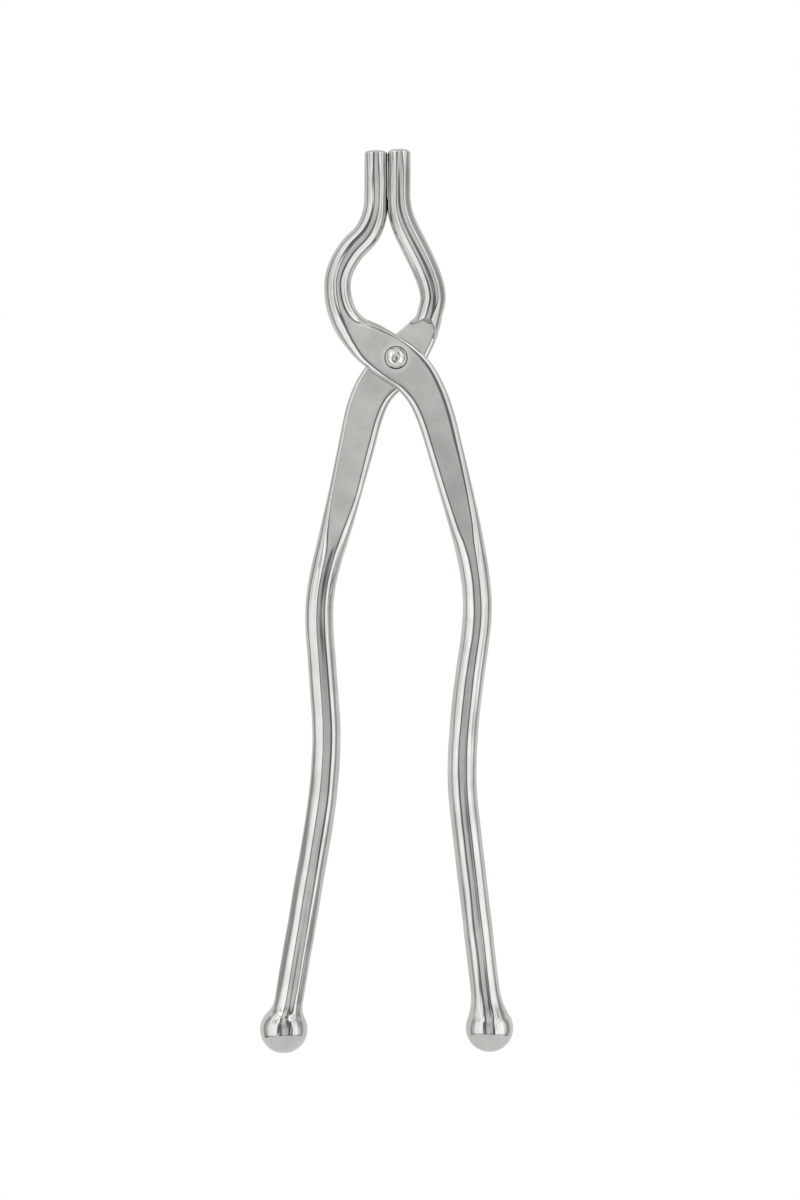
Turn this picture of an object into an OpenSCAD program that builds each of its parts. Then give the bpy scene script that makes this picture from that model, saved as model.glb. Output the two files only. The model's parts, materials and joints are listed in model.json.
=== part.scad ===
// Crucible tongs: two bent steel bars, pressed flat where they cross, on one rivet.
// The tongs lie flat, closed, with the jaws towards +Y. The origin is on the rivet's
// axis, in the plane of the bench that the balls and the rivet's back head rest on.

/* [Bar] */
// Diameter of the round bar along the handles
bar_d = 8; // [6.5:0.1:9.6]
// Diameter of the bar around the bows of the jaws
bow_d = 7.4; // [6:0.1:8.8]
// Diameter of the bar at the jaw tips
tip_d = 6.3; // [5:0.1:7.6]
// Diameter of the balls on the handle ends
ball_d = 13.2; // [11:0.1:16]

/* [Pivot] */
// Width of each bar where it is pressed flat for the rivet
pad_w = 12.4; // [10:0.1:14.6]
// Thickness of each bar where it is pressed flat
pad_t = 4; // [3.3:0.1:4.8]
// Rounding along the edges of the pressed stretch
pad_edge = 1.5; // [0.5:0.1:1.6]
// Gap between the two pressed faces that slide on each other
pad_gap = 0.15; // [0.12:0.01:0.3]
// Distance from the pivot to the shoulder where a pressed face ends at the jaw
shoulder = 12.3; // [11.5:0.1:13]
// Diameter of the rivet's shank
rivet_d = 4; // [3:0.1:5]
// Diameter of the rivet's heads
head_d = 6.4; // [5.8:0.1:8]
// Height of the rivet's front head
head_h = 2.3; // [1.6:0.1:2.9]
// Radial play of the front arm on the shank
rivet_play = 0.08; // [0.06:0.01:0.1]
// Gap between the front arm and the front head
head_play = 0.15; // [0.12:0.01:0.3]

/* [Jaws] */
// Length of the straight tips that grip
tip_len = 17; // [8:0.5:24]
// Gap that is left between the closed tips
tip_gap = 0.3; // [0.2:0.05:1]
// Distance from the pivot to where the two bars start to run side by side
eye_len = 41; // [38:0.5:52]
// How far the front arm bows out from the pivot
front_bow = 16.2; // [14.5:0.1:19.5]
// How far the rear arm bows out from the pivot
rear_bow = 10.2; // [9:0.1:12.3]

/* [Handles] */
// Straight run of the front arm's handle, up to the centre of its ball
front_run = 54.6; // [30:0.5:90]
// Straight run of the rear arm's handle, up to the centre of its ball
rear_run = 54.4; // [30:0.5:90]
// Where the flare of the front arm's ball starts, from the ball's centre
front_flare = 11; // [8:0.5:16]
// Where the flare of the rear arm's ball starts, from the ball's centre
rear_flare = 8.5; // [8:0.5:16]

/* [Hidden] */
$fn = 64;

steel = [0.72, 0.72, 0.70];
bright_steel = [0.80, 0.79, 0.77];

// Height of the plane in which the two bars meet, above the bench
mid_z = ball_d / 2;
// The closed tips meet on this line, a little to the left of the pivot
grip_x = -2.35;
// The faces of a pressed stretch, measured from the meeting plane
near_z = pad_gap / 2;
far_z = near_z + pad_t;
bore_r = rivet_d / 2 + rivet_play;
// The back head stands as high as the balls, so that the tongs lie level
back_head_h = mid_z - far_z;

// One ring of the sweep has this many sides, so its top and bottom are level facets
sides = 20;
facet = 360 / sides;
// Rings are at most this far apart, and turn at most this much from one to the next
ring_step = 4.5;
ring_turn = 6.5;

// ---- Stations -------------------------------------------------------------------
// A station is [x, y, heading, width, near, far, edge]: a point of the bar's centre
// line, the heading of the bar there as it runs from ball to jaw, its width, the
// levels of its two faces from the meeting plane, and the rounding between them.

// A station on a round stretch
function round_bar(x, y, heading, d) = [x, y, heading, d, -d / 2, d / 2, d / 2];

// A station where the bar is pressed, from 0 for round to 1 for fully flat
function pressed_bar(x, y, heading, w, press, edge) = [
    x, y, heading, w,
    -bar_d / 2 * (1 - press) + near_z * press,
    bar_d / 2 * (1 - press) + far_z * press,
    edge
];

// A point at a distance from another, along a heading
function ahead(p, heading, distance) = p + distance * [cos(heading), sin(heading)];

front_run_heading = 96.6;
front_run_start = [19.6, -131];
front_ball = ahead(front_run_start, front_run_heading, -front_run);
front_pad_end = ahead([0, 0], 147.5, shoulder);
front_tip_x = grip_x - (tip_d + tip_gap) / 2;

front_line = [
    // the ball and the straight run of the handle
    round_bar(front_ball[0], front_ball[1], front_run_heading, bar_d),
    round_bar(front_run_start[0], front_run_start[1], front_run_heading, bar_d),
    // the waist, and the swell where the hand closes round the handles
    round_bar(18.3, -114.5, 90, bar_d),
    round_bar(20.5, -87, 82.5, bar_d),
    round_bar(22.5, -69, 90, bar_d),
    // the bar flattens slowly towards the rivet
    pressed_bar(19, -46, 104, bar_d + 0.15 * (pad_w - bar_d), 0.25, 3.2),
    pressed_bar(12.4, -21, 105, bar_d + 0.5 * (pad_w - bar_d), 0.8, 2),
    // the pressed stretch round the rivet, up to the shoulder
    pressed_bar(5.1, -5, 131, pad_w - 0.6, 1, pad_edge),
    pressed_bar(-0.5, -0.5, 146, pad_w, 1, pad_edge),
    pressed_bar(front_pad_end[0], front_pad_end[1], 141, bow_d + 0.5 * (pad_w - bow_d), 1, pad_edge),
    // the bow of the jaw, and its tip
    round_bar(front_pad_end[0] - 2.9, front_pad_end[1] + 3.2, 125, bow_d + 0.9),
    round_bar(-front_bow, 20.5, 88, bow_d),
    round_bar(-12.3, 30, 53, bow_d + 0.1),
    round_bar(-8.4, 34.2, 52, bow_d),
    round_bar(front_tip_x, eye_len, 90, tip_d)
];

rear_run_heading = 80.3;
rear_run_start = [-21.9, -132];
rear_ball = ahead(rear_run_start, rear_run_heading, -rear_run);
rear_pad_end = ahead([0, 0], 48, shoulder);
rear_tip_x = grip_x + (tip_d + tip_gap) / 2;

rear_line = [
    round_bar(rear_ball[0], rear_ball[1], rear_run_heading, bar_d),
    round_bar(rear_run_start[0], rear_run_start[1], rear_run_heading, bar_d),
    round_bar(-19.3, -104.5, 90, bar_d - 0.1),
    round_bar(-20.4, -86, 94, bar_d - 0.1),
    round_bar(-21.3, -70.5, 90, bar_d - 0.2),
    pressed_bar(-17.6, -50.5, 74.5, bar_d + 0.08 * (pad_w - bar_d), 0.2, 3.4),
    pressed_bar(-10.9, -23.8, 76.5, bar_d + 0.48 * (pad_w - bar_d), 0.8, 2),
    pressed_bar(-6.2, -8.8, 60, pad_w - 1.3, 1, pad_edge),
    pressed_bar(1, -0.4, 50, pad_w, 1, pad_edge),
    pressed_bar(rear_pad_end[0], rear_pad_end[1], 61, bow_d + 0.1, 1, pad_edge),
    round_bar(rear_pad_end[0] + 1.2, rear_pad_end[1] + 3.6, 78, bow_d - 0.4),
    round_bar(rear_bow, 16.7, 91, bow_d - 0.2),
    round_bar(8, 25, 113, bow_d),
    round_bar(3.8, 33.5, 117, bow_d),
    round_bar(rear_tip_x, eye_len, 90, tip_d)
];

// ---- Sweep ----------------------------------------------------------------------

// A share that starts and ends gently, for sizes that change between two stations
function ease(t) = t * t * (3 - 2 * t);

// A point between two stations, on the cubic that leaves and arrives along their headings
function between(a, b, t) =
    let (
        from = [a[0], a[1]],
        to = [b[0], b[1]],
        reach = norm(to - from),
        leave = reach * [cos(a[2]), sin(a[2])],
        arrive = reach * [cos(b[2]), sin(b[2])]
    )
    (1 - ease(t)) * from + ease(t) * to
    + t * (1 - t) * (1 - t) * leave - t * t * (1 - t) * arrive;

// The direction of that cubic, in degrees
function heading_between(a, b, t) =
    let (step = 0.001, d = between(a, b, t + step) - between(a, b, t - step))
    atan2(d[1], d[0]);

function size_between(a, b, t, i) = a[i] + (b[i] - a[i]) * ease(t);

// The station at a share of the way between two others
function station_between(a, b, t) =
    let (p = between(a, b, t))
    concat([p[0], p[1], heading_between(a, b, t)], [for (i = [3:6]) size_between(a, b, t, i)]);

function ring_count(a, b) =
    let (reach = norm([b[0] - a[0], b[1] - a[1]]), changes = norm([for (i = [3:6]) b[i] - a[i]]))
    changes == 0 && a[2] == b[2] ? 1 : ceil(max(reach / ring_step, abs(b[2] - a[2]) / ring_turn));

// All rings' stations, from the first station of a line to its last
function stations(line) = [
    for (k = [0:len(line) - 2])
        let (n = ring_count(line[k], line[k + 1]))
        for (j = [0:n - 1]) station_between(line[k], line[k + 1], j / n),
    line[len(line) - 1]
];

// One corner point of a ring, at an angle round the section. Corners stretch the
// rounding so that the facets at 0, 90, 180 and 270 degrees lie exactly on the sides.
function ring_point(s, side, angle) =
    let (
        edge = s[6],
        across = sign(cos(angle)) * (s[3] / 2 - edge) + edge * cos(angle) / cos(facet / 2),
        level = (s[4] + s[5]) / 2
            + sign(sin(angle)) * ((s[5] - s[4]) / 2 - edge)
            + edge * sin(angle) / cos(facet / 2)
    )
    [s[0] + across * sin(s[2]), s[1] - across * cos(s[2]), mid_z + side * level];

// The bar along a line of stations; side is 1 for the arm in front, -1 for the one behind
module swept_bar(line, side) {
    rings = stations(line);
    count = len(rings);
    points = [
        for (s = rings)
            for (i = [0:sides - 1]) ring_point(s, side, side * (i + 0.5) * facet)
    ];
    walls = [
        for (k = [0:count - 2])
            for (i = [0:sides - 1])
                let (a = k * sides + i, b = k * sides + (i + 1) % sides)
                each [[a, b + sides, a + sides], [a, b, b + sides]]
    ];
    caps = [
        [for (i = [sides - 1:-1:0]) i],
        [for (i = [0:sides - 1]) (count - 1) * sides + i]
    ];
    polyhedron(points = points, faces = concat(caps, walls), convexity = 12);
}

// ---- Arms -----------------------------------------------------------------------

// Leaves a fine step between a turned piece and the swept bar that ends inside it
turned_step = 0.06;

// The straight tip of a jaw, with its end rounded over
module jaw_tip(x) {
    rounding = tip_d / 4;
    translate([x, eye_len, mid_z])
        rotate([-90, 0, 0])
            rotate_extrude()
                polygon(concat(
                    [[0, 0], [tip_d / 2 + turned_step, 0]],
                    [
                        for (a = [0:15:90])
                            [
                                tip_d / 2 + turned_step - rounding * (1 - cos(a)),
                                tip_len - rounding * (1 - sin(a))
                            ]
                    ],
                    [[0, tip_len]]
                ));
}

// The ball on a handle's end, with the flare that leads the bar into it
module ball_end(centre, heading, flare) {
    translate([centre[0], centre[1], mid_z]) {
        sphere(d = ball_d);
        rotate([0, 90, heading])
            cylinder(h = flare, d1 = ball_d - 0.6, d2 = bar_d + 4 * turned_step);
    }
}

module arm(line, side, ball, heading, flare, tip_x, hole_r) {
    difference() {
        union() {
            swept_bar(line, side);
            ball_end(ball, heading, flare);
            jaw_tip(tip_x);
        }
        translate([0, 0, mid_z - far_z - 1])
            cylinder(h = 2 * far_z + 2, r = hole_r);
    }
}

module front_arm() {
    color(steel)
        arm(front_line, 1, front_ball, front_run_heading, front_flare, front_tip_x, bore_r);
}

module rear_arm() {
    color(steel)
        arm(rear_line, -1, rear_ball, rear_run_heading, rear_flare, rear_tip_x, rivet_d / 2);
}

// ---- Rivet ----------------------------------------------------------------------

// A domed head that stands on the plane z = 0, cut off level at its height
module rivet_head(full_h, cut_h) {
    dome_r = (head_d * head_d / 4 + full_h * full_h) / (2 * full_h);
    intersection() {
        translate([0, 0, full_h - dome_r])
            sphere(r = dome_r);
        cylinder(h = cut_h, d = 2 * head_d);
    }
}

module pivot_rivet() {
    // how much of the back head's dome is set down flat
    flat_h = 0.35;
    color(bright_steel) {
        translate([0, 0, mid_z + far_z + head_play])
            rivet_head(head_h, head_h + 1);
        translate([0, 0, back_head_h])
            mirror([0, 0, 1])
                rivet_head(back_head_h + flat_h, back_head_h);
        translate([0, 0, back_head_h - 1])
            cylinder(h = 2 * far_z + head_play + 2, d = rivet_d);
    }
}

front_arm();
rear_arm();
pivot_rivet();
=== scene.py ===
"""Crucible tongs: two bent bars of polished steel that cross on one rivet.

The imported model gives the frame. Each arm is made again here as one swept surface, with the
pressed faces, bevels, flare and ball that forging leaves, and the rivet as turned heads on a
shank. The sizes in the classes are in millimetres and the meshes are in metres.
"""

import json
import logging
from dataclasses import dataclass, field
from enum import Enum

import bpy
import numpy as np
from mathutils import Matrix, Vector


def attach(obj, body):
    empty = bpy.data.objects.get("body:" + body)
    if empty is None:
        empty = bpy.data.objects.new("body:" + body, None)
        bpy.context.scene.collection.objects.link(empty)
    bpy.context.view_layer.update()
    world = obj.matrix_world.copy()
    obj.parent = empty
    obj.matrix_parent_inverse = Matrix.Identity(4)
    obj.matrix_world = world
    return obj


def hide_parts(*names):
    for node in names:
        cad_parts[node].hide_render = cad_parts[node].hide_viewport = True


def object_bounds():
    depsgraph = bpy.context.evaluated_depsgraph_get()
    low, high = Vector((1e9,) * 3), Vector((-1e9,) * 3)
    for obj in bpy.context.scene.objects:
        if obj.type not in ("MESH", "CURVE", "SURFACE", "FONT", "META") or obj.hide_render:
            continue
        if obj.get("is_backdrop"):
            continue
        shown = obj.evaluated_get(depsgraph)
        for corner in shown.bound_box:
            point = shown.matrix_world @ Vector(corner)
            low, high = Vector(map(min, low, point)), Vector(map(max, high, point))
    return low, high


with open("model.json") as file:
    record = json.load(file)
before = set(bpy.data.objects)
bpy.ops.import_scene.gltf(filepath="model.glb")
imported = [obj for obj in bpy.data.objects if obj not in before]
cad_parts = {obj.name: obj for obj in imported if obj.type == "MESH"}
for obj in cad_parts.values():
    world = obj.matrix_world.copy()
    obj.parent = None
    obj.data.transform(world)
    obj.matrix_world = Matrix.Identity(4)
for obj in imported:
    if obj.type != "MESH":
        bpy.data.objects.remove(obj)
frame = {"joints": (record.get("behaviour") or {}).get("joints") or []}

MM = 0.001

# The line along which the jaw tips meet, in x; the rivet's axis to the end of the eye; and the
# tips' length and half the gap between them when closed
GRIP_X, EYE, TIP_LENGTH, TIP_GAP = -2.35, 41.0, 17.0, 0.03
# Diameters of the round bar: along the handles and round the bows of the jaws
BAR, BOW = 8.0, 7.4
LOG = logging.getLogger("tongs")


# ---- Sections of a bar -------------------------------------------------------------------


@dataclass(frozen=True)
class Corner:
    """One corner of a bar's section: three arcs that turn from the face to the side.

    The crease turns the first degrees off the face, the bevel the next ones, and the side
    the rest. With all three radii the same the corner is a plain quarter round.
    """

    crease: float
    bevel: float
    side: float

    @classmethod
    def even(cls, radius: float) -> "Corner":
        """A plain quarter round of this radius."""
        return cls(radius, radius, radius)


CREASE_TURN, BEVEL_TURN = np.radians(18.0), np.radians(20.0)
CORNER_TURNS = np.array([CREASE_TURN, BEVEL_TURN, np.pi / 2 - CREASE_TURN - BEVEL_TURN])

# Share of the points round a section that goes by length; the rest goes by turning
BY_LENGTH = 0.6

# Places in a section's chain of flats and arcs: the flats of the right and the left side wall
RIGHT_WALL, LEFT_WALL = 4, 12


@dataclass(frozen=True)
class Section:
    """A section of the bar, at a distance from the pivot along the bar, towards the jaw.

    Near and far are the levels of the two faces, measured from the plane where the arms
    meet. Left and right are as seen by someone who walks from the ball to the jaw.
    """

    at: float
    width: float
    near: float
    far: float
    far_left: Corner
    far_right: Corner
    near_left: Corner
    near_right: Corner

    def sizes(self) -> list[float]:
        """The section's sizes as one row.

        Returns:
            Width, near, far and the twelve radii, corner by corner.
        """
        corners = (self.near_right, self.far_right, self.far_left, self.near_left)
        radii = [r for c in corners for r in (c.crease, c.bevel, c.side)]
        return [self.width, self.near, self.far, *radii]


def round_section(at: float, diameter: float) -> Section:
    """A round section of this diameter."""
    corner = Corner.even(diameter / 2)
    return Section(at, diameter, -diameter / 2, diameter / 2, corner, corner, corner, corner)


def pair(radius: float) -> tuple[Corner, Corner]:
    """Two plain quarter rounds of this radius, for both corners of a face."""
    return Corner.even(radius), Corner.even(radius)


def smooth_through(knots: np.ndarray, rows: np.ndarray, at: np.ndarray) -> np.ndarray:
    """Sizes between sections: a cubic that passes through each row and never overshoots.

    The slope at a knot is the harmonic mean of the slopes on its two sides, or level where
    they differ in sign; between knots the cubic is Hermite's.

    Args:
        knots: Distances of the rows, rising.
        rows: One row of sizes for each knot.
        at: Distances wanted, of any shape.

    Returns:
        The sizes at those distances, with one more axis than at.
    """
    gap = np.diff(knots)[:, None]
    slope = np.diff(rows, axis=0) / gap
    before, after = slope[:-1], slope[1:]
    same = before * after > 0
    total = np.where(same, before + after, 1.0)
    inner = np.where(same, 2 * before * after / total, 0.0)
    flat = np.zeros((1, rows.shape[1]))
    tangent = np.concatenate([flat, inner, flat])
    k = np.clip(np.searchsorted(knots, at, side="right") - 1, 0, len(knots) - 2)
    span = gap[k]
    t = np.clip((at - knots[k])[..., None] / span, 0.0, 1.0)
    return (
        (1 + 2 * t) * (1 - t) ** 2 * rows[k]
        + t * (1 - t) ** 2 * span * tangent[k]
        + t * t * (3 - 2 * t) * rows[k + 1]
        - t * t * (1 - t) * span * tangent[k + 1]
    )


def section_points(sizes: np.ndarray, share: np.ndarray) -> tuple[np.ndarray, np.ndarray]:
    """Points round a section, from the middle of the near face, past the right side.

    The outline is a chain of flats and arcs. A point's place along the chain goes partly by
    length and partly by turning, so that tight arcs get their points too; the near and the
    far side, which meet at the middles of the two side walls, get half of the points each.
    Along a flat the point moves straight on; along an arc of radius r it moves by
    r (sin b - sin a) across and r (cos a - cos b) up as the heading turns from a to b.

    Args:
        sizes: Width, near, far and twelve radii for each point, on the last axis.
        share: Each point's place along the chain, from 0 to 1.

    Returns:
        The places as (across, level) and the outward directions there, on the last axis.
    """
    width, near, far = sizes[..., 0], sizes[..., 1], sizes[..., 2]
    radii = sizes[..., 3:].reshape(*sizes.shape[:-1], 4, 3)
    ends = np.concatenate([[0.0], np.cumsum(CORNER_TURNS)])
    sine, cosine = np.diff(np.sin(ends)), -np.diff(np.cos(ends))
    half, thick = width / 2, far - near
    reach, depth = radii @ sine, radii @ cosine
    pair_depth = depth[..., [1, 0, 3, 2]] + depth
    fit = np.minimum(1.0, thick[..., None] / pair_depth)
    fit = np.minimum(fit, half[..., None] / reach)
    fit = np.minimum(fit, fit[..., [1, 0, 3, 2]])
    radii = radii * fit[..., None]
    reach, depth = reach * fit, depth * fit
    zero = np.zeros_like(half)
    right_wall = thick - depth[..., 0] - depth[..., 1]
    left_wall = thick - depth[..., 2] - depth[..., 3]

    def corner_chain(corner: int, towards_side: bool) -> tuple[list, list]:
        """The radii and turns of one corner, in the order in which the chain meets them."""
        order = (0, 1, 2) if towards_side else (2, 1, 0)
        return [radii[..., corner, i] for i in order], [CORNER_TURNS[i] for i in order]

    radius, turn, length = [], [], []
    runs = (
        (half - reach[..., 0], 0, True),
        (right_wall, 1, False),
        (width - reach[..., 1] - reach[..., 2], 2, True),
        (left_wall, 3, False),
    )
    for flat, corner, towards_side in runs:
        arcs, turns = corner_chain(corner, towards_side)
        radius += [zero, *arcs]
        turn += [0.0, *turns]
        length += [np.maximum(flat, 0.0), *(r * t for r, t in zip(arcs, turns))]
    radius.append(zero)
    turn.append(0.0)
    length.append(np.maximum(half - reach[..., 3], 0.0))
    radius, length, turn = np.stack(radius, -1), np.stack(length, -1), np.array(turn)
    heading = np.concatenate([[0.0], np.cumsum(turn)])
    by_length, by_turn = length / length.sum(-1, keepdims=True), turn / turn.sum()
    weight = BY_LENGTH * by_length + (1 - BY_LENGTH) * by_turn
    mark = np.concatenate([np.zeros_like(weight[..., :1]), np.cumsum(weight, -1)], -1)
    flat_run = turn == 0
    step_x = np.where(flat_run, length * np.cos(heading[:-1]), radius * np.diff(np.sin(heading)))
    step_y = np.where(flat_run, length * np.sin(heading[:-1]), -radius * np.diff(np.cos(heading)))
    start_x = np.cumsum(step_x, -1) - step_x
    start_y = np.cumsum(step_y, -1) - step_y

    right_middle = (mark[..., RIGHT_WALL] + mark[..., RIGHT_WALL + 1]) / 2
    left_middle = (mark[..., LEFT_WALL] + mark[..., LEFT_WALL + 1]) / 2
    near_right = share / 0.25 * right_middle
    far_side = right_middle + (share - 0.25) / 0.5 * (left_middle - right_middle)
    near_left = left_middle + (share - 0.75) / 0.25 * (1 - left_middle)
    share = np.where(share < 0.25, near_right, np.where(share < 0.75, far_side, near_left))
    index = np.clip((mark[..., 1:] <= share[..., None]).sum(-1), 0, len(turn) - 1)

    def pick(values: np.ndarray) -> np.ndarray:
        """The value of each point's own piece of the chain."""
        return np.take_along_axis(values, index[..., None], -1)[..., 0]

    size = np.maximum(pick(weight), 1e-12)
    local = np.clip((share - pick(mark[..., :-1])) / size, 0.0, 1.0)
    a = heading[index]
    b = a + local * turn[index]
    r, run = pick(radius), pick(length) * local * flat_run[index]
    across = pick(start_x) + run * np.cos(a) + r * (np.sin(b) - np.sin(a))
    level = pick(start_y) + run * np.sin(a) + r * (np.cos(a) - np.cos(b)) + near
    return np.stack([across, level], -1), np.stack([np.sin(b), -np.cos(b)], -1)


# ---- Meshes ------------------------------------------------------------------------------


def closed_mesh(
    name: str, rings: np.ndarray, first: np.ndarray, last: np.ndarray
) -> bpy.types.Object:
    """A closed surface from rings of points, each end closed by a fan to its pole.

    Args:
        name: The object's name.
        rings: Points in metres, by ring and by place round the ring.
        first: The pole before the first ring.
        last: The pole after the last ring.

    Returns:
        The object, at the origin, with smooth faces that point outwards.
    """
    count, sides = rings.shape[:2]
    points = np.concatenate([rings.reshape(-1, 3), [first], [last]])
    ring = np.arange(count - 1)[:, None] * sides
    here, beside = np.arange(sides), (np.arange(sides) + 1) % sides
    walls = np.stack([ring + here, ring + beside, ring + sides + beside, ring + sides + here], -1)
    start, end = count * sides, count * sides + 1
    low = np.stack([np.full(sides, start), beside, here], -1)
    top = (count - 1) * sides
    high = np.stack([np.full(sides, end), top + here, top + beside], -1)
    quads = walls.reshape(-1, 4)
    corner = points[quads]
    volume = np.einsum("ij,ij->i", corner[:, 0], np.cross(corner[:, 1], corner[:, 2])).sum()
    volume += np.einsum("ij,ij->i", corner[:, 0], np.cross(corner[:, 2], corner[:, 3])).sum()
    if volume < 0:
        quads, low, high = quads[:, ::-1], low[:, ::-1], high[:, ::-1]
    mesh = bpy.data.meshes.new(name)
    mesh.from_pydata(points.tolist(), [], quads.tolist() + low.tolist() + high.tolist())
    mesh.validate()
    mesh.shade_smooth()
    piece = bpy.data.objects.new(name, mesh)
    bpy.context.scene.collection.objects.link(piece)
    return piece


def store_vectors(piece: bpy.types.Object, name: str, values: np.ndarray) -> None:
    """Puts one vector for each point of the piece into an attribute that a finish reads."""
    layer = piece.data.attributes.new(name, "FLOAT_VECTOR", "POINT")
    layer.data.foreach_set("vector", values.astype(np.float32).ravel())


# ---- Arms --------------------------------------------------------------------------------

# Height of a slow wave on a bar for each millimetre of its length; depth of the facets round
# it, shared out among them; and how far they wander round it, in radians
WAVE_SLOPE, FACET_DEPTH, FACET_WANDER = 0.0006, 0.22, 0.9
# Lengths over which the ripple comes in after the ball and goes out before the tip, whose own
# end is plain, and over which it calms down before the pressed face and comes back after it
AFTER_BALL, BEFORE_TIP, PLAIN_TIP, INTO_PRESSED, OUT_OF_PRESSED = 12.0, 6.0, 2.0, 9.0, 6.0


class Side(Enum):
    """Which arm it is: the one in front at the crossing or the one behind."""

    FRONT = 1
    REAR = -1


@dataclass(frozen=True)
class Bend:
    """A point of a bar's centre line, and the bar's heading there, from ball to jaw."""

    x: float
    y: float
    heading: float

    def way(self) -> np.ndarray:
        """The heading as a step of length 1."""
        return np.array([np.cos(np.radians(self.heading)), np.sin(np.radians(self.heading))])


@dataclass(frozen=True)
class BallEnd:
    """A ball on a handle's end, and the fillet that leads the bar into it."""

    diameter: float = 13.2
    bar: float = 8.0
    fillet: float = 16.0
    neck_lip: float = 0.0
    lip_place: float = 0.93
    lip_width: float = 0.35

    def length(self) -> float:
        """Distance from the ball's pole to where the plain bar starts."""
        return self.diameter / 2 + self._fillet_centre()

    def _fillet_centre(self) -> float:
        """Distance from the ball's centre to the fillet's, along the bar."""
        reach = self.diameter / 2 + self.fillet
        return float(np.sqrt(reach**2 - (self.bar / 2 + self.fillet) ** 2))

    def radius(self, from_pole: np.ndarray) -> np.ndarray:
        """The radius at a distance from the pole: the ball's circle, then the fillet's arc.

        The fillet is the arc of a circle that touches both the ball and the bar from outside.

        Args:
            from_pole: Distances from the ball's far pole, along the bar.

        Returns:
            The radii.
        """
        r, centre = self.diameter / 2, self._fillet_centre()
        along = from_pole - r
        touch = centre * r / (r + self.fillet)
        ball = np.sqrt(np.clip(r**2 - along**2, 0.0, None))
        rest = np.clip(centre - along, 0.0, None)
        arc = self.bar / 2 + self.fillet - np.sqrt(np.clip(self.fillet**2 - rest**2, 0.0, None))
        lip = self.neck_lip * np.exp(-(((along - centre * self.lip_place) / self.lip_width) ** 2))
        return np.where(along < touch, ball, arc) + lip


@dataclass(frozen=True)
class JawTip:
    """The free end of a jaw: a round bar whose end is turned over and slightly domed."""

    diameter: float = 6.5
    rounding: float = 1.7
    rounding_length: float = 1.15
    dome: float = 0.12

    def profile(self, count: int) -> tuple[np.ndarray, np.ndarray]:
        """The tip's outline: a quarter ellipse and then a low dome.

        Args:
            count: The number of points on the ellipse.

        Returns:
            Distances before the very end, and the radii there.
        """
        turn = np.linspace(0.0, np.pi / 2, count)
        edge = self.diameter / 2 - self.rounding
        before = self.dome + self.rounding_length * (1 - np.sin(turn))
        radius = edge + self.rounding * np.cos(turn)
        share = np.linspace(1.0, 0.0, count // 2 + 1)[1:-1]
        return np.r_[before, self.dome * share**2], np.r_[radius, edge * share]


@dataclass(frozen=True)
class Shoulder:
    """Where a pressed stretch ends and the round jaw bar begins, on a line bowed like an arch."""

    at: float
    run: float
    radius: float

    def share_of_bar(self, at: np.ndarray, across: np.ndarray) -> np.ndarray:
        """How far a point has gone from the pressed shape to the round bar, from 0 to 1.

        The shoulder comes sooner at the sides, by a circle's sagitta: r - sqrt(r^2 - v^2).

        Args:
            at: Distances from the pivot along the bar.
            across: Distances from the centre line.

        Returns:
            The shares.
        """
        off = np.clip(np.abs(across) / self.radius, 0.0, 0.97)
        sooner = self.radius * (1 - np.sqrt(1 - off**2))
        t = np.clip((at + sooner - self.at) / self.run, 0.0, 1.0)
        return t * t * (3 - 2 * t)


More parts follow.
